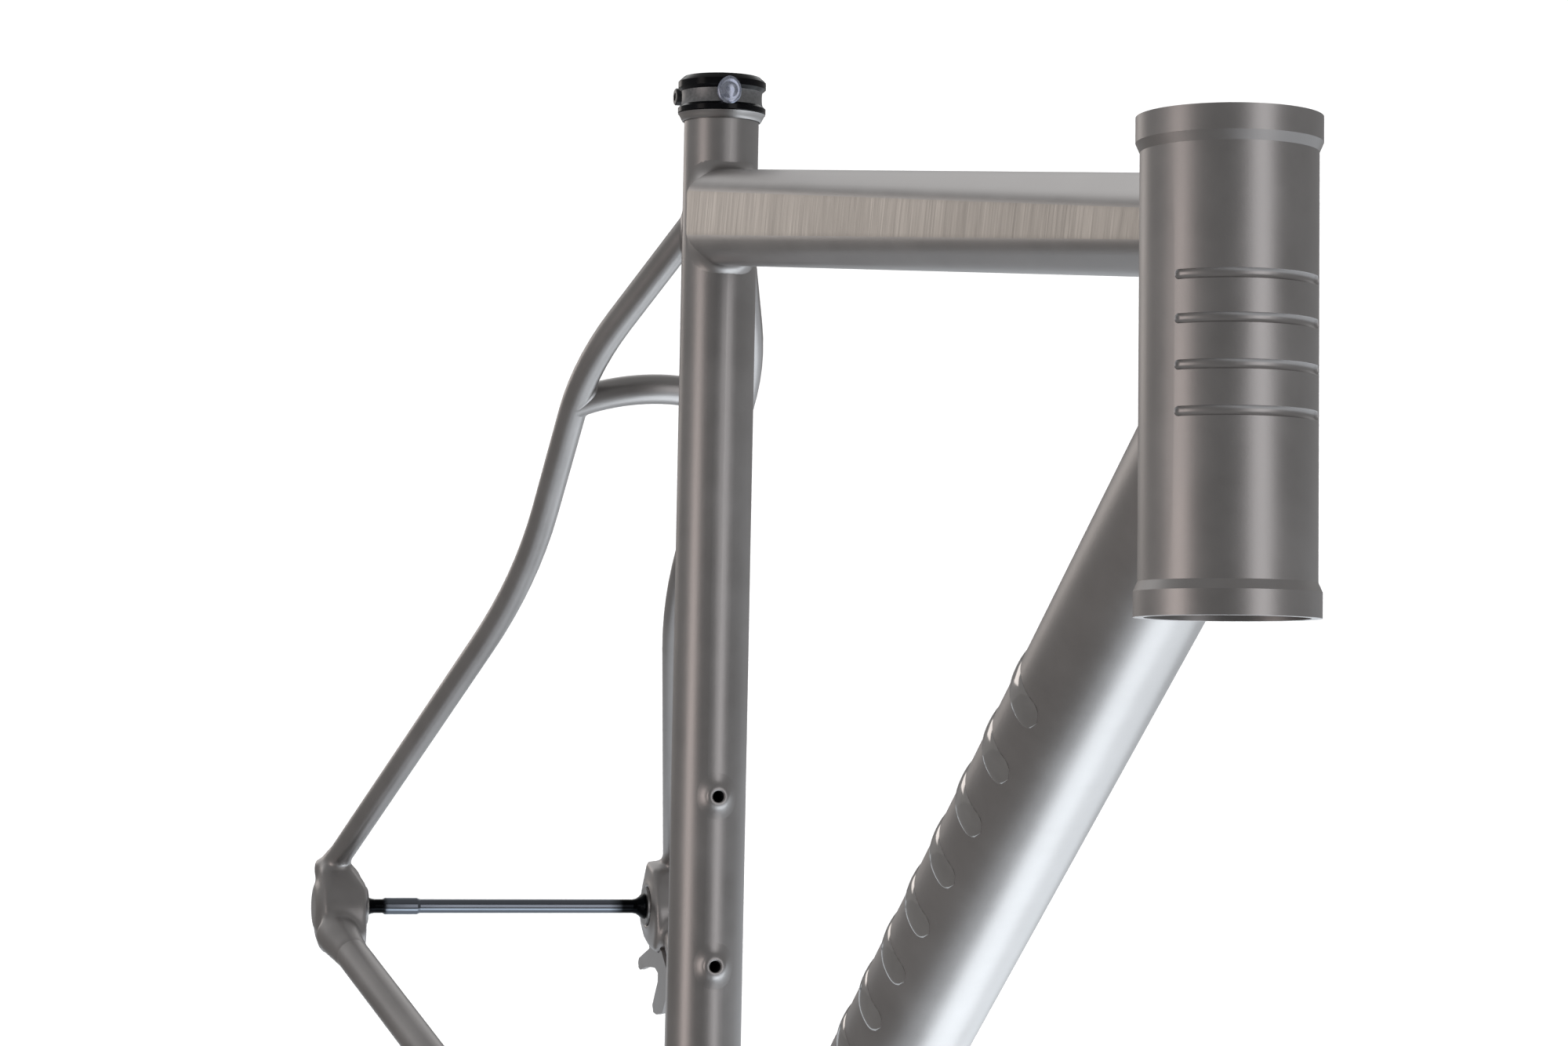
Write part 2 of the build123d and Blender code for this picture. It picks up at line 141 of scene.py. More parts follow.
def span(tree, source, out, to_low, to_high, low=0.3, high=0.7):
    """Map source from low..high to to_low..to_high."""
    node = tree.nodes.new("ShaderNodeMapRange")
    node.inputs["From Min"].default_value = low
    node.inputs["From Max"].default_value = high
    node.inputs["To Min"].default_value = to_low
    node.inputs["To Max"].default_value = to_high
    tree.links.new(source.outputs[out], node.inputs["Value"])
    return node


def bumped(tree, shader, source, out, strength, distance):
    """Give the shader relief from source, distance in metres."""
    node = tree.nodes.new("ShaderNodeBump")
    node.inputs["Strength"].default_value = strength
    node.inputs["Distance"].default_value = distance
    tree.links.new(source.outputs[out], node.inputs["Height"])
    link(tree, node, "Normal", shader, "Normal")


def blasted_titanium():
    """Bead-blasted titanium: fine grain, faint cloudy mottling."""
    mat, tree, shader = new_material("titanium_blasted")
    coords = tree.nodes.new("ShaderNodeTexCoord").outputs["Object"]
    cloud = noise(tree, coords, 28.0, 5.0, 0.6)
    grain = noise(tree, coords, 1500.0, 3.0, 0.7)
    tint = ramp(tree, cloud, "Fac", 0.32, 0.72, (0.37, 0.355, 0.35), (0.44, 0.425, 0.42))
    link(tree, tint, "Color", shader, "Base Color")
    shader.inputs["Metallic"].default_value = 1.0
    rough = span(tree, cloud, "Fac", 0.36, 0.43)
    link(tree, rough, "Result", shader, "Roughness")
    bumped(tree, shader, grain, "Fac", 0.35, 0.00004)
    return mat


def brushed_titanium():
    """Sides of the top tube: fine scratches square to the tube, warmer and lighter."""
    mat, tree, shader = new_material("titanium_brushed")
    coords = tree.nodes.new("ShaderNodeTexCoord").outputs["Object"]
    lines = noise(tree, coords, 900.0, 4.0, 0.65, (1.0, 1.0, 0.03))
    bands = noise(tree, coords, 26.0, 3.0, 0.5, (1.0, 0.2, 0.12))
    tint = ramp(tree, bands, "Fac", 0.3, 0.75, (0.40, 0.37, 0.34), (0.50, 0.465, 0.43))
    link(tree, tint, "Color", shader, "Base Color")
    shader.inputs["Metallic"].default_value = 1.0
    rough = span(tree, lines, "Fac", 0.34, 0.5)
    link(tree, rough, "Result", shader, "Roughness")
    bumped(tree, shader, lines, "Fac", 0.5, 0.00003)
    return mat


def polished_titanium():
    """Raised marks: bright, with a faint haze."""
    mat, tree, shader = new_material("titanium_polished")
    coords = tree.nodes.new("ShaderNodeTexCoord").outputs["Object"]
    haze = noise(tree, coords, 90.0, 3.0)
    tint = ramp(tree, haze, "Fac", 0.3, 0.7, (0.46, 0.45, 0.445), (0.54, 0.53, 0.525))
    link(tree, tint, "Color", shader, "Base Color")
    shader.inputs["Metallic"].default_value = 1.0
    rough = span(tree, haze, "Fac", 0.09, 0.14)
    link(tree, rough, "Result", shader, "Roughness")
    bumped(tree, shader, haze, "Fac", 0.1, 0.00005)
    return mat


def black_gloss(name, tint, rough_low, rough_high, coat):
    """Smooth black finish with slight smears."""
    mat, tree, shader = new_material(name)
    coords = tree.nodes.new("ShaderNodeTexCoord").outputs["Object"]
    smear = noise(tree, coords, 160.0, 4.0)
    low, high = (tuple(c * k for c in tint) for k in (0.7, 1.3))
    colour = ramp(tree, smear, "Fac", 0.3, 0.7, low, high)
    link(tree, colour, "Color", shader, "Base Color")
    shader.inputs["Metallic"].default_value = 0.0
    shader.inputs["Specular IOR Level"].default_value = 0.16
    shader.inputs["Coat Weight"].default_value = coat
    shader.inputs["Coat Roughness"].default_value = 0.1
    rough = span(tree, smear, "Fac", rough_low, rough_high)
    link(tree, rough, "Result", shader, "Roughness")
    bumped(tree, shader, smear, "Fac", 0.08, 0.00005)
    return mat


def axle_metal():
    """Dark chromed shaft, blacked at both ends."""
    mat, tree, shader = new_material("axle_dark_chrome")
    coords = tree.nodes.new("ShaderNodeTexCoord").outputs["Object"]
    split = tree.nodes.new("ShaderNodeSeparateXYZ")
    tree.links.new(coords, split.inputs["Vector"])
    tint = tree.nodes.new("ShaderNodeValToRGB")
    # place along the shaft from its right end, and brightness
    stops = ((0.0, 0.006), (0.14, 0.006), (0.155, 0.19), (0.80, 0.19), (0.84, 0.006), (1.0, 0.006))
    while len(tint.color_ramp.elements) < len(stops):
        tint.color_ramp.elements.new(0.5)
    for element, (place, level) in zip(tint.color_ramp.elements, stops):
        element.position = place
        element.color = (level * 0.86, level * 0.95, level * 1.1, 1)
    along = span(tree, split, "Y", 0.0, 1.0, -0.083, 0.083)
    link(tree, along, "Result", tint, "Fac")
    link(tree, tint, "Color", shader, "Base Color")
    shader.inputs["Metallic"].default_value = 1.0
    scratch = noise(tree, coords, 400.0, 4.0, 0.6, (1.0, 0.15, 1.0))
    rough = span(tree, scratch, "Fac", 0.12, 0.22)
    link(tree, rough, "Result", shader, "Roughness")
    bumped(tree, shader, scratch, "Fac", 0.1, 0.00003)
    return mat


def satin_black():
    """Fine-grained dark satin, for the band in the collar's groove."""
    mat, tree, shader = new_material("satin_anodised")
    coords = tree.nodes.new("ShaderNodeTexCoord").outputs["Object"]
    grain = noise(tree, coords, 900.0, 3.0)
    tint = ramp(tree, grain, "Fac", 0.3, 0.7, (0.20, 0.20, 0.205), (0.28, 0.28, 0.285))
    link(tree, tint, "Color", shader, "Base Color")
    shader.inputs["Metallic"].default_value = 0.9
    rough = span(tree, grain, "Fac", 0.38, 0.5)
    link(tree, rough, "Result", shader, "Roughness")
    bumped(tree, shader, grain, "Fac", 0.2, 0.00003)
    return mat


def badge_metal():
    """Bluish worn metal."""
    mat, tree, shader = new_material("badge_metal")
    coords = tree.nodes.new("ShaderNodeTexCoord").outputs["Object"]
    haze = noise(tree, coords, 500.0, 4.0)
    tint = ramp(tree, haze, "Fac", 0.3, 0.7, (0.32, 0.35, 0.45), (0.46, 0.49, 0.58))
    link(tree, tint, "Color", shader, "Base Color")
    shader.inputs["Metallic"].default_value = 0.85
    rough = span(tree, haze, "Fac", 0.2, 0.35)
    link(tree, rough, "Result", shader, "Roughness")
    bumped(tree, shader, haze, "Fac", 0.2, 0.00004)
    return mat


def insert_steel():
    """Turned steel, grey."""
    mat, tree, shader = new_material("insert_steel")
    coords = tree.nodes.new("ShaderNodeTexCoord").outputs["Object"]
    turned = noise(tree, coords, 700.0, 3.0, 0.6, (0.2, 1.0, 0.2))
    tint = ramp(tree, turned, "Fac", 0.3, 0.7, (0.26, 0.255, 0.25), (0.34, 0.33, 0.325))
    link(tree, tint, "Color", shader, "Base Color")
    shader.inputs["Metallic"].default_value = 1.0
    rough = span(tree, turned, "Fac", 0.3, 0.42)
    link(tree, rough, "Result", shader, "Roughness")
    bumped(tree, shader, turned, "Fac", 0.2, 0.00003)
    return mat


BLASTED = blasted_titanium()
BRUSHED = brushed_titanium()
POLISHED = polished_titanium()
BLACK = black_gloss("black_anodised", (0.002, 0.002, 0.003), 0.14, 0.26, 0.0)
BLACK_AXLE = axle_metal()
SATIN = satin_black()
BADGE = badge_metal()
STEEL = insert_steel()
# black steel of the collar bolt and nut, also used in the bottle bosses' threaded holes as painted shade
BLACK_STEEL_AND_HOLE_SHADE = black_gloss("black_steel", (0.03, 0.03, 0.032), 0.25, 0.4, 0.1)

BY_NODE = {"thru_axle": BLACK_AXLE, "seat_collar": BLACK, "axle_washer": BLACK, "collar_nut": BLACK_STEEL_AND_HOLE_SHADE,
           "collar_bolt": BLACK_STEEL_AND_HOLE_SHADE, "axle_insert_right": STEEL, "axle_insert_left": STEEL}
for node_name, obj in NODES.items():
    obj.data.materials.clear()
    obj.data.materials.append(BY_NODE.get(node_name, BLASTED))
    obj.data.shade_smooth()


# ---- mesh helpers ----
def piece(name, points, faces, materials, body="frame"):
    """Mesh piece from points in millimetres, riding on a CAD body."""
    mesh = bpy.data.meshes.new(name)
    mesh.from_pydata([tuple(p * MM) for p in points], [], faces)
    mesh.validate()
    mesh.shade_smooth()
    obj = bpy.data.objects.new(name, mesh)
    bpy.context.scene.collection.objects.link(obj)
    for material in materials:
        mesh.materials.append(material)
    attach(obj, body)
    return obj


def grid_faces(rows, columns, wrap_columns=False, wrap_rows=False):
    """Quads over points laid out row by row, closed round either way if asked."""
    faces = []
    for i in range(rows if wrap_rows else rows - 1):
        for j in range(columns if wrap_columns else columns - 1):
            a, b = i * columns + j, i * columns + (j + 1) % columns
            k = ((i + 1) % rows) * columns
            faces.append((a, b, k + (j + 1) % columns, k + j))
    return faces


def flat(rows):
    """Points of all rows in one list."""
    return [point for row in rows for point in row]


def bent(a, corner, b, t):
    """Point at t of the curve from a to b that is drawn towards corner."""
    return a * (1 - t) ** 2 + corner * 2 * t * (1 - t) + b * t ** 2


MOSTLY_SIDEWAYS = 0.7


def ring(direction, radius, count):
    """Offsets round a circle square to direction."""
    side = Vector((0, 1, 0)) if abs(direction.y) < MOSTLY_SIDEWAYS else Vector((1, 0, 0))
    u = direction.cross(side).normalized()
    v = direction.cross(u).normalized()
    turn = [2 * math.pi * i / count for i in range(count)]
    return [(u * math.cos(t) + v * math.sin(t)) * radius for t in turn]


def to_cylinder(point, base, axis, radius):
    """Nearest point of a cylinder, and the normal there."""
    along = (point - base).dot(axis)
    foot = base + axis * along
    normal = (point - foot).normalized()
    return foot + normal * radius, normal


def hit_cylinder(start, direction, base, axis, radius):
    """First point where a line meets a cylinder, or its nearest pass."""
    rel = start - base
    a = direction - axis * direction.dot(axis)
    b = rel - axis * rel.dot(axis)
    aa, bb, cc = a.dot(a), 2 * a.dot(b), b.dot(b) - radius * radius
    disc = max(bb * bb - 4 * aa * cc, 0.0)
    return start + direction * ((-bb - math.sqrt(disc)) / (2 * aa))


WELD_STEPS = 7             # segments across a fillet
WELD_LIFT = 0.08           # height over the parts, so that the fillet's edges don't sink into them
WELD_BULGE = 0.12          # how far the fillet's middle leaves the corner
WELD_EASING = 6            # rounds of smoothing along the weld
REACH_LEAST, REACH_GAIN = 0.15, 1.5


def weld(name, host, offsets, start, direction, size):
    """Concave weld fillet round a branch that runs from start along direction into a round host tube.

    host is (point on axis, axis direction, radius). offsets are the branch's outline about its axis."""
    base, axis, radius = host
    rows = []
    for off in offsets:
        p = hit_cylinder(start + off, direction, base, axis, radius)
        outward = off.normalized()
        _, normal = to_cylinder(p, base, axis, radius)
        along_host = outward - normal * outward.dot(normal)
        along_host.normalize()
        reach = size * min(1.0, max(REACH_LEAST, REACH_GAIN * abs(direction.dot(normal))))
        a, normal_a = to_cylinder(p + along_host * reach, base, axis, radius)
        a += normal_a * WELD_LIFT
        b = p - direction * reach + outward * WELD_LIFT
        corner = p + (a + b - p * 2) * WELD_BULGE
        rows.append([bent(a, corner, b, k / WELD_STEPS) for k in range(WELD_STEPS + 1)])
    for _ in range(WELD_EASING):
        before, after = rows[-1:] + rows[:-1], rows[1:] + rows[:1]
        rows = [[(a + b * 2 + c) / 4 for a, b, c in zip(*three)] for three in zip(before, rows, after)]
    piece(name, flat(rows), grid_faces(len(rows), WELD_STEPS + 1, wrap_rows=True), [BLASTED])


SEAT_HOST = (ORIGIN, SEAT_UP, SEAT_R)
HEAD_HOST = (HEAD_LOW, HEAD_UP, HEAD_R)
BB_HOST = (ORIGIN, Vector((0, 1, 0)), BB_R)

# ---- top tube: flat sides with rounded bevels, over the CAD node ----
# half width, half flat above, half height, upper crease, lower crease, corner radius
TOP_AT_SEAT = (13.8, 7.0, 18.1, 12.4, -10.6, 8.5)
TOP_AT_HEAD = (15.0, 7.5, 13.3, 6.0, -6.2, 5.0)
CORNER_STEPS, STATIONS = 6, 36
SKIN = 0.12                # how far the skin's flats stand over the CAD tube's
FLAT_SHARE = 0.4           # share of the skin's growth that widens the flat above
CORNER_REACH, SIDE_SHARE = 0.62, 0.48
CLEAR = 60.0               # start of a run towards a round tube, outside it
SUNK = 0.3                 # depth of the skin's ends in the round tubes
TOP_UP = TOP_DIR.cross(Vector((0, 1, 0))).normalized()


def top_outline(t, grow=0.0):
    """Rounded outline of the top tube at t from seat to head, as (y, z) pairs."""
    w, f, h, up, low, r = (a + (b - a) * t for a, b in zip(TOP_AT_SEAT, TOP_AT_HEAD))
    w, f, h = w + grow, f + grow * FLAT_SHARE, h + grow
    corners = ((-w, up), (-f, h), (f, h), (w, up), (w, low), (f, -h), (-f, -h), (-w, low))
    corners = [Vector(c) for c in corners]
    out = []
    for i, c in enumerate(corners):
        before, after = corners[i - 1] - c, corners[(i + 1) % len(corners)] - c
        reach = min(r * CORNER_REACH, before.length * SIDE_SHARE, after.length * SIDE_SHARE)
        a, b = c + before.normalized() * reach, c + after.normalized() * reach
        out += [bent(a, c, b, k / CORNER_STEPS) for k in range(CORNER_STEPS + 1)]
    return out


def top_offsets(t, grow=0.0):
    """The outline at t, as offsets from the tube's centre line."""
    return [Vector((0, y, 0)) + TOP_UP * z for y, z in top_outline(t, grow)]


seat_row = [hit_cylinder(TOP_SEAT + off + TOP_DIR * CLEAR, -TOP_DIR, ORIGIN, SEAT_UP, SEAT_R - SUNK)
            for off in top_offsets(0, SKIN)]
head_row = [hit_cylinder(TOP_HEAD + off - TOP_DIR * CLEAR, TOP_DIR, HEAD_LOW, HEAD_UP, HEAD_R - SUNK)
            for off in top_offsets(1, SKIN)]
rows = [[a + (b - a) * (i / STATIONS) for a, b in zip(seat_row, head_row)] for i in range(STATIONS + 1)]
top = piece("top_tube_skin", flat(rows), grid_faces(STATIONS + 1, len(seat_row), wrap_columns=True),
            [BLASTED, BRUSHED])
FACING_SIDE = 0.995        # sideways share of the normal of a flat side
for poly in top.data.polygons:
    if abs(poly.normal.y) > FACING_SIDE:
        poly.material_index = 1
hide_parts("top_tube")

# ---- welds ----
LONG_CLEAR, SHELL_CLEAR = 80.0, 90.0       # starts of the longer runs towards a round tube
HEAD_TURNS, SHELL_TURNS, STAY_TURNS, BRIDGE_TURNS = 96, 72, 48, 40
weld("weld_top_to_seat", SEAT_HOST, top_offsets(0.02), TOP_SEAT + TOP_DIR * CLEAR, -TOP_DIR, 6.0)
weld("weld_top_to_head", HEAD_HOST, top_offsets(0.95), TOP_HEAD - TOP_DIR * CLEAR, TOP_DIR, 2.2)
down_ring = ring(DOWN_DIR, DOWN_R, HEAD_TURNS)
weld("weld_down_to_head", HEAD_HOST, down_ring, DOWN_HEAD + DOWN_DIR * LONG_CLEAR, -DOWN_DIR, 2.6)
weld("weld_seat_to_shell", BB_HOST, ring(SEAT_UP, SEAT_R, SHELL_TURNS), SEAT_UP * LONG_CLEAR, -SEAT_UP, 3.0)
down_ring = ring(DOWN_DIR, DOWN_R, SHELL_TURNS)
weld("weld_down_to_shell", BB_HOST, down_ring, -DOWN_DIR * SHELL_CLEAR, DOWN_DIR, 3.0)
BRIDGE_R, BRIDGE_AT, BRIDGE_AHEAD = 6.0, 119.0, 3.2
# out from the middle: the arched bridge's foot, and a place inwards of it where the bridge stands higher
FOOT_OUT, INNER_OUT, INNER_RISE = 33.0, 20.0, 6.0
LOWER_BRIDGE = Vector((-92.0, 0, 13.6))
LOWER_OUT = 33.3           # where the chain stays cross the lower bridge's line
for side, word in WORDS.items():
    bend = on_stay(*STAY_VERTICES[1], side)
    run = (on_stay(*STAY_VERTICES[0], side) - bend).normalized()
    weld(f"weld_seatstay_{word}", SEAT_HOST, ring(run, STAY_R, STAY_TURNS), bend, run, 3.5)
    bend = on_chain_stay(1, side)
    run = (on_chain_stay(0, side) - bend).normalized()
    weld(f"weld_chainstay_{word}", BB_HOST, ring(run, CHAIN_R, STAY_TURNS), bend, run, 3.0)
    # the arched bridge meets the stay where the stay bends
    foot = on_stay(BRIDGE_AT, FOOT_OUT, BRIDGE_AHEAD, side)
    near, along = min(SEAT_STAYS[side], key=lambda sample: (sample[0] - foot).length)
    inner = on_stay(BRIDGE_AT - INNER_RISE, INNER_OUT, BRIDGE_AHEAD, side)
    run = (foot - inner).normalized()
    weld(f"weld_bridge_{word}", (near, along, STAY_R), ring(run, BRIDGE_R, BRIDGE_TURNS), inner, run, 4.0)
    outward = Vector((0, side, 0))
    stay_run = (CHAIN_STAYS[side][1][0] - CHAIN_STAYS[side][0][0]).normalized()
    weld(f"weld_lower_bridge_{word}", (LOWER_BRIDGE + outward * LOWER_OUT, stay_run, CHAIN_R),
         ring(Vector((0, 1, 0)), BRIDGE_R, BRIDGE_TURNS), LOWER_BRIDGE, outward, 2.5)


# ---- bottle bosses: flange blended into the tube, threaded hole ----
BOSS_TURNS = 56
THREAD_FOOT, THREAD_TOP, THREAD_PITCH = -8.2, 1.1, 0.8
THREAD_INNER, THREAD_OUTER = 2.1, 2.35
# radius and height of the boss's lip
BOSS_LIP = ((2.15, 1.3), (2.4, 1.58), (2.9, 1.66), (3.6, 1.5), (4.3, 1.14))
SKIRT_R, SKIRT_LIFT = 8.8, 0.05            # outer edge of the boss's skirt on the tube
SKIRT_CORNER_R, SKIRT_CORNER_LIFT, SKIRT_CORNER_DROP = 5.6, 0.28, 0.4
SKIRT_PLACES = (0.15, 0.3, 0.45, 0.6, 0.8, 1.0)


def boss_profile():
    """Radius and height of the threaded hole and the lip, and how many of the points are thread."""
    profile = []
    depth = THREAD_FOOT
    while depth < THREAD_TOP:
        profile += [(THREAD_INNER, depth), (THREAD_OUTER, depth + THREAD_PITCH / 2)]
        depth += THREAD_PITCH
    return profile + list(BOSS_LIP), len(profile)


def boss(name, node, root, normal, tube_r, axis):
    """Turned profile about the boss's axis whose skirt flows into the tube."""
    across = normal.cross(axis)
    crest = root + normal * tube_r
    profile, thread = boss_profile()
    rows = []
    for i in range(BOSS_TURNS):
        turn = 2 * math.pi * i / BOSS_TURNS
        out = axis * math.cos(turn) + across * math.sin(turn)
        row = [crest + normal * h + out * r for r, h in profile]
        lip = row[-1]
        edge, tilt = to_cylinder(crest + out * SKIRT_R, root, axis, tube_r)
        edge += tilt * SKIRT_LIFT
        drop = (edge - crest - out * SKIRT_R) * SKIRT_CORNER_DROP
        corner = crest + out * SKIRT_CORNER_R + normal * SKIRT_CORNER_LIFT + drop
        rows.append(row + [bent(lip, corner, edge, t) for t in SKIRT_PLACES])
    wide = len(rows[0])
    made = piece(name, flat(rows), grid_faces(BOSS_TURNS, wide, wrap_rows=True), [BLASTED, BLACK_STEEL_AND_HOLE_SHADE])
    # the thread's faces take the black steel finish: painted shade that darkens the threaded hole
    for i, poly in enumerate(made.data.polygons):
        if i % (wide - 1) < thread:
            poly.material_index = 1
    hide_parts(node)


DOWN_FOOT = DOWN_HEAD + DOWN_DIR * -DOWN_HEAD.dot(DOWN_DIR)
for word, height in (("lower", 180.75), ("upper", 244.75)):
    boss(f"seat_boss_{word}", f"seat_tube_boss_{word}", SEAT_UP * height, SEAT_FRONT, SEAT_R, SEAT_UP)
for word, height in (("lower", 116.0), ("upper", 180.0)):
    foot = DOWN_FOOT - DOWN_DIR * height
    boss(f"down_boss_{word}", f"down_tube_boss_{word}", foot, DOWN_REAR, DOWN_R, DOWN_DIR)


# ---- dropouts: the CAD shape with its corners melted together, flowing into the stays ----
CONE_TURNS, CONE_STEPS = 40, 8
VOXEL = 0.0008             # metres
MELT_STEPS = 60
SOCKET_STEP = 0.6          # the cones run from a little over the stay's radius to a little under


def cone(start, direction, r0, r1, length):
    """Closed round bar whose radius runs from r0 to r1."""
    rows = []
    for k in range(CONE_STEPS + 1):
        centre = start + direction * (length * k / CONE_STEPS)
        rows.append([centre + off for off in ring(direction, r0 + (r1 - r0) * k / CONE_STEPS, CONE_TURNS)])
    count = CONE_TURNS * (CONE_STEPS + 1)
    faces = grid_faces(CONE_STEPS + 1, CONE_TURNS, wrap_columns=True)
    faces += [tuple(range(CONE_TURNS)), tuple(range(count - 1, count - 1 - CONE_TURNS, -1))]
    return flat(rows), faces


def melted(rough, name):
    """Mesh of the overlapping closed shapes in rough joined into one and smoothed."""
    remesh = rough.modifiers.new("remesh", "REMESH")
    remesh.mode = "VOXEL"
    remesh.voxel_size = VOXEL
    smooth = rough.modifiers.new("smooth", "SMOOTH")
    smooth.factor = 0.5
    smooth.iterations = MELT_STEPS
    mesh = bpy.data.meshes.new_from_object(rough.evaluated_get(bpy.context.evaluated_depsgraph_get()))
    bpy.data.objects.remove(rough)
    mesh.name = name
    return mesh


def dropout(side, word):
    """The CAD dropout and the ends of its two stays, melted together."""
    node = NODES[f"dropout_{word}"]
    points = [v.co / MM for v in node.data.vertices]
    faces = [tuple(p.vertices) for p in node.data.polygons]
    seat_end, seat_run = SEAT_STAYS[side][-1]
    chain_end, chain_run = CHAIN_STAYS[side][-1]
    for bar_points, bar_faces in (
            cone(seat_end + seat_run * 4, -seat_run, STAY_R + 2 * SOCKET_STEP, STAY_R - SOCKET_STEP, 20),
            cone(chain_end + chain_run * 2, -chain_run, CHAIN_R + SOCKET_STEP, CHAIN_R - SOCKET_STEP, 16)):
        base = len(points)
        points += bar_points
        faces += [tuple(i + base for i in face) for face in bar_faces]
    mesh = melted(piece("rough", points, faces, [BLASTED]), f"dropout_body_{word}")
    body = bpy.data.objects.new(f"dropout_body_{word}", mesh)
    bpy.context.scene.collection.objects.link(body)
    mesh.materials.clear()
    mesh.materials.append(BLASTED)
    mesh.shade_smooth()
    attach(body, "frame")
    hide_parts(f"dropout_{word}")


for side, word in WORDS.items():
    dropout(side, word)

# ---- seat collar: satin band in the groove, plain domed badge ----
COLLAR_MID, COLLAR_FOOT = 511.3, 504.6     # along the seat tube
BAND_R, BAND_FLARE, BAND_HALF = 15.32, 0.5, 3.4
BAND_ROWS, BAND_COLUMNS, BAND_HALF_TURN = 7, 97, 150
SKIRT_COLUMNS, SKIRT_HALF_TURN = 121, 172
# radius, and height over the collar's foot
SKIRT_PROFILE = ((14.7, -2.5), (15.1, -2.45), (15.75, -1.2), (16.3, -0.1), (16.75, 0.35))
BADGE_COLUMNS, BADGE_TURN, BADGE_LIFT, BADGE_TALL, BADGE_FOOT_R = 48, math.radians(4), 1.1, 1.18, 15.7
BADGE_BEND_R = 15.6        # radius that the badge is bent round
# radius on the badge's face, and rise
BADGE_PROFILE = ((0.0, 1.7), (1.3, 1.68), (2.4, 1.58), (2.8, 1.32), (3.2, 1.52), (3.9, 1.4), (4.4, 1.1),
                 (4.7, 0.2))


def round_seat(turn, radius, height):
    """Point about the seat tube's axis, turn from the front towards the rider's right."""
    return SEAT_UP * height + (SEAT_FRONT * math.cos(turn) + RIGHT * math.sin(turn)) * radius


def open_ring(profile, half_turn, columns):
    """Rows of points round the seat tube for each radius and height, open at the back."""
    turns = [math.radians(-half_turn + 2 * half_turn * i / (columns - 1)) for i in range(columns)]
    return [round_seat(turn, radius, height) for radius, height in profile for turn in turns]


band_steps = BAND_ROWS - 1
band = [(BAND_R + BAND_FLARE * abs(2 * k / band_steps - 1) ** 3,
         COLLAR_MID - BAND_HALF + 2 * BAND_HALF * k / band_steps) for k in range(BAND_ROWS)]
piece("collar_band", open_ring(band, BAND_HALF_TURN, BAND_COLUMNS), grid_faces(BAND_ROWS, BAND_COLUMNS),
      [SATIN], "collar")
skirt = [(radius, COLLAR_FOOT + height) for radius, height in SKIRT_PROFILE]
piece("collar_skirt", open_ring(skirt, SKIRT_HALF_TURN, SKIRT_COLUMNS), grid_faces(len(skirt), SKIRT_COLUMNS),
      [BLASTED], "collar")
badge = []
for radius, rise in BADGE_PROFILE:
    for i in range(BADGE_COLUMNS):
        t = 2 * math.pi * i / BADGE_COLUMNS
        height = COLLAR_MID + BADGE_LIFT + radius * BADGE_TALL * math.cos(t)
        turn = BADGE_TURN + radius * math.sin(t) / BADGE_BEND_R
        badge.append(round_seat(turn, BADGE_FOOT_R + rise, height))
piece("collar_badge", badge, grid_faces(len(BADGE_PROFILE), BADGE_COLUMNS, wrap_columns=True),
      [BADGE], "collar")

# ---- down tube: a row of plain polished bars ----
BAR_FIRST, BAR_STEP, BAR_COUNT = 126.0, 28.6, 13
BAR_LOW, BAR_HIGH = math.radians(-34), math.radians(58)
BAR_ACROSS, BAR_AROUND = 12, 28
BAR_HALF, BAR_LEAN, BAR_END = 5.6, 5.0, 0.28
BAR_RISE, BAR_DOME = 0.22, 0.34
BAR_EDGE = 0.02            # least height and half width, so that the bar never folds flat


def bar(middle):
    """Points of a low domed bar with rounded ends, bent round the down tube."""
    points = []
    for j in range(BAR_AROUND + 1):
        turn = BAR_LOW + (BAR_HIGH - BAR_LOW) * j / BAR_AROUND
        end = abs(2 * j / BAR_AROUND - 1)
        half = BAR_HALF * math.sqrt(max(0.0, 1 - max(0.0, (end - 1 + BAR_END) / BAR_END) ** 2)) + BAR_EDGE
        lean = BAR_LEAN * (j / BAR_AROUND - 0.5)
        normal = RIGHT * math.cos(turn) + DOWN_REAR * math.sin(turn)
        for i in range(BAR_ACROSS + 1):
            edge = abs(2 * i / BAR_ACROSS - 1)
            dome = (BAR_RISE + BAR_DOME * (1 - edge ** 2)) * (1 - edge ** 8) * (1 - end ** 10)
            at = DOWN_HEAD + DOWN_DIR * (middle + lean + half * (2 * i / BAR_ACROSS - 1))
            points.append(at + normal * (DOWN_R + BAR_EDGE + dome))
    return points


for n in range(BAR_COUNT):
    piece(f"down_tube_bar_{n:02d}", bar(BAR_FIRST + BAR_STEP * n), grid_faces(BAR_AROUND + 1, BAR_ACROSS + 1),
          [POLISHED])

# ---- camera: the photograph's viewpoint ----
YAW, PITCH, ROLL = (math.radians(a) for a in (15.82, 14.28, 5.59))
LENS, SENSOR, FAR = 88.35, 36.0, 100
CAMERA_AT = Vector((1.27777, -0.3626, 0.69901))
look = Vector((-math.cos(YAW) * math.cos(PITCH), math.sin(YAW) * math.cos(PITCH), -math.sin(PITCH)))
flat_right = Vector((math.sin(YAW), math.cos(YAW), 0))
up = flat_right.cross(look)
cam_right = flat_right * math.cos(ROLL) + up * math.sin(ROLL)
cam_up = up * math.cos(ROLL) - flat_right * math.sin(ROLL)
cam_data = bpy.data.cameras.new("camera")
cam_data.sensor_width = SENSOR
cam_data.sensor_fit = "HORIZONTAL"
cam_data.lens = LENS
cam_data.clip_end = FAR
camera = bpy.data.objects.new("camera", cam_data)
camera.matrix_world = Matrix((
    (cam_right.x, cam_up.x, -look.x, CAMERA_AT.x),
    (cam_right.y, cam_up.y, -look.y, CAMERA_AT.y),
    (cam_right.z, cam_up.z, -look.z, CAMERA_AT.z),
    (0, 0, 0, 1)))
scene = bpy.context.scene
scene.collection.objects.link(camera)
scene.camera = camera
scene.view_settings.view_transform = "Standard"

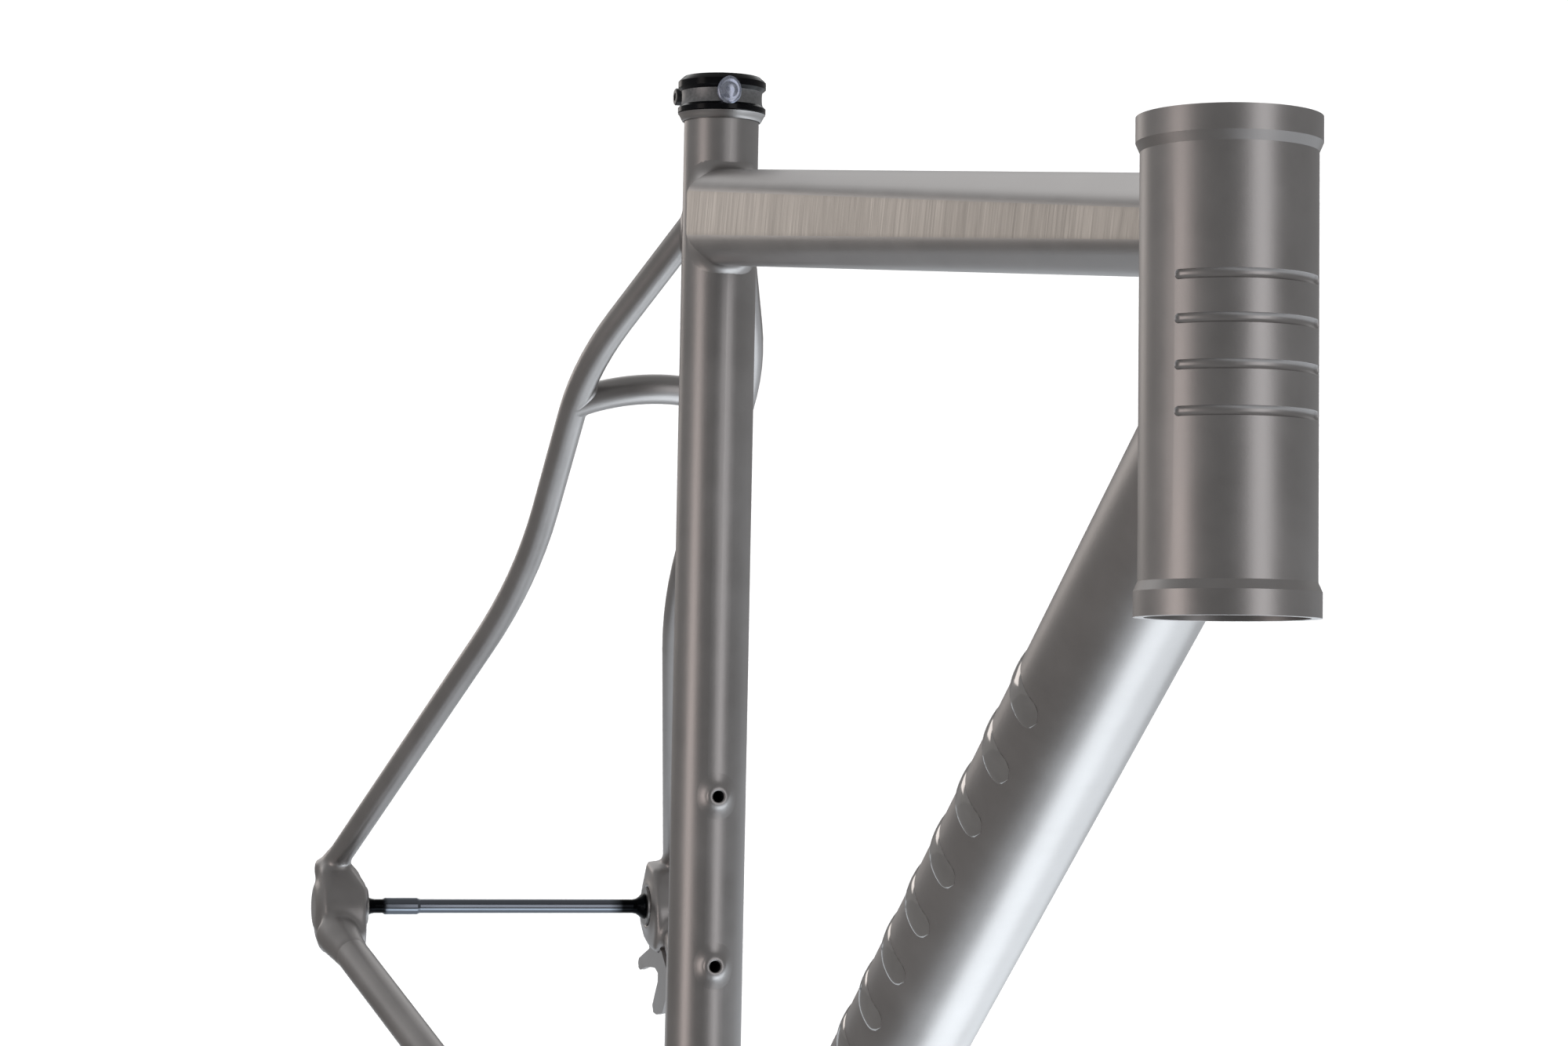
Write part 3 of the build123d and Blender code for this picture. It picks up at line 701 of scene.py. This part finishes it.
# ---- studio ----
FLOOR_Z, FLOOR_SIZE = -0.35, 80
CARD_LIFT, PANEL_LIFT = 0.04, 0.06


def sheet(name, centre, size_x, size_y, material):
    """Flat rectangle of the studio, lying level."""
    mesh = bpy.data.meshes.new(name)
    x, y = size_x / 2, size_y / 2
    mesh.from_pydata([(-x, -y, 0), (x, -y, 0), (x, y, 0), (-x, y, 0)], [], [(0, 1, 2, 3)])
    obj = bpy.data.objects.new(name, mesh)
    obj.location = centre
    mesh.materials.append(material)
    scene.collection.objects.link(obj)
    return obj


floor_mat, floor_tree, floor_shader = new_material("floor_pale")
floor_coords = floor_tree.nodes.new("ShaderNodeTexCoord").outputs["Object"]
floor_noise = noise(floor_tree, floor_coords, 3.0)
floor_tint = ramp(floor_tree, floor_noise, "Fac", 0.3, 0.7, (0.84, 0.84, 0.84), (0.86, 0.86, 0.86))
link(floor_tree, floor_tint, "Color", floor_shader, "Base Color")
floor_shader.inputs["Roughness"].default_value = 0.9
floor_shader.inputs["Specular IOR Level"].default_value = 0.1
floor = sheet("floor", (0, 0, FLOOR_Z), FLOOR_SIZE, FLOOR_SIZE, floor_mat)
floor.visible_glossy = False


def flag(name, x0, x1, y0, y1, level, tint):
    """Glowing card lying on the floor that only reflections see."""
    mat, _, shader = new_material(name)
    shader.inputs["Base Color"].default_value = (0.02, 0.02, 0.02, 1)
    shader.inputs["Roughness"].default_value = 1.0
    shader.inputs["Emission Color"].default_value = (*tint, 1)
    shader.inputs["Emission Strength"].default_value = level
    card = sheet(name, ((x0 + x1) / 2, (y0 + y1) / 2, FLOOR_Z + CARD_LIFT), x1 - x0, y1 - y0, mat)
    card.visible_camera = card.visible_diffuse = card.visible_shadow = False


WARM_GREY, COOL_WHITE = (1.0, 0.97, 0.95), (0.90, 0.95, 1.0)
flag("flag_right", -1.6, 0.65, -3.0, -0.23, 0.22, WARM_GREY)
flag("flag_far", -9.0, -1.6, -6.0, 6.0, 0.26, WARM_GREY)
flag("flag_left", -1.6, 4.0, -0.23, 5.0, 0.75, COOL_WHITE)


def panel(name, place, aim, width, height, luminance, colour):
    """Soft rectangular light; luminance is the brightness that a reflection of it shows."""
    data = bpy.data.lights.new(name, "AREA")
    data.shape = "RECTANGLE"
    data.size, data.size_y = width, height
    data.energy = luminance * math.pi * width * height
    data.color = colour
    obj = bpy.data.objects.new(name, data)
    place, aim = Vector(place), Vector(aim)
    obj.location = place
    obj.rotation_euler = (aim - place).to_track_quat("-Z", "Y").to_euler()
    obj.visible_camera = False
    scene.collection.objects.link(obj)


panel("strip_right_side", (0.5, -1.9, 0.3), (0.3, 0, 0.4), 0.75, 1.5, 1.45, (1.0, 0.88, 0.84))
panel("strip_front", (1.95, 0.62, 1.0), (0.1, 0, 0.4), 0.8, 1.9, 1.35, (1.0, 0.985, 1.0))
PALE_BLUE, PANEL_Z = (0.86, 0.94, 1.0), FLOOR_Z + PANEL_LIFT
panel("under_near", (0.28, 0.20, PANEL_Z), (0.28, 0.20, 1), 0.8, 0.36, 2.05, PALE_BLUE)
panel("under_far", (0.05, 0.60, PANEL_Z), (0.05, 0.60, 1), 1.2, 0.40, 1.12, PALE_BLUE)
panel("behind_right", (-2.75, -0.95, -0.05), (0.1, 0, 0.5), 1.0, 0.8, 1.2, (1.0, 0.93, 0.88))

# the fill lights nothing but the floor
sun_data = bpy.data.lights.new("floor_fill", "SUN")
sun_data.energy = 3.2
sun_data.angle = math.radians(40)
sun = bpy.data.objects.new("floor_fill", sun_data)
scene.collection.objects.link(sun)
floor_only = bpy.data.collections.new("floor_only")
floor_only.objects.link(floor)
sun.light_linking.receiver_collection = floor_only

# the camera sees white; everything else sees a dim studio with a bright wall behind the object
world = bpy.data.worlds.new("studio")
scene.world = world
world.use_nodes = True
tree = world.node_tree
tree.nodes.clear()
out = tree.nodes.new("ShaderNodeOutputWorld")
mix = tree.nodes.new("ShaderNodeMixShader")
white, studio = tree.nodes.new("ShaderNodeBackground"), tree.nodes.new("ShaderNodeBackground")
path = tree.nodes.new("ShaderNodeLightPath")
direction = tree.nodes.new("ShaderNodeTexCoord")
split = tree.nodes.new("ShaderNodeSeparateXYZ")
link(tree, direction, "Generated", split, "Vector")


def combine(operation, first, out_first, second, out_second):
    """Math node of two outputs."""
    node = tree.nodes.new("ShaderNodeMath")
    node.operation = operation
    link(tree, first, out_first, node, 0)
    link(tree, second, out_second, node, 1)
    return node


WALL_LEVEL, WALL_BACK, WHITE_LEVEL = 1.25, 1.1, 1.1
AMBIENT_FRONT, AMBIENT_SIDE = 0.22, 0.36
back = span(tree, split, "X", 1.0, 0.0, -0.95, -0.3)
above = span(tree, split, "Z", 0.0, WALL_LEVEL, 0.075, 0.18)
fade = span(tree, split, "Z", 1.0, 0.28, 0.25, 0.6)
wall = combine("MULTIPLY", back, "Result", combine("MULTIPLY", above, "Result", fade, "Result"), 0)
wall = combine("MULTIPLY", wall, 0, span(tree, split, "X", WALL_BACK, 0.0, -1.0, 0.0), "Result")
ambient = span(tree, split, "X", AMBIENT_FRONT, AMBIENT_SIDE, 0.9, 0.2)
glow = combine("ADD", wall, 0, ambient, "Result")
link(tree, glow, 0, studio, "Strength")
white.inputs["Strength"].default_value = WHITE_LEVEL
link(tree, path, "Is Camera Ray", mix, 0)
link(tree, studio, 0, mix, 1)
link(tree, white, 0, mix, 2)
link(tree, mix, 0, out, "Surface")
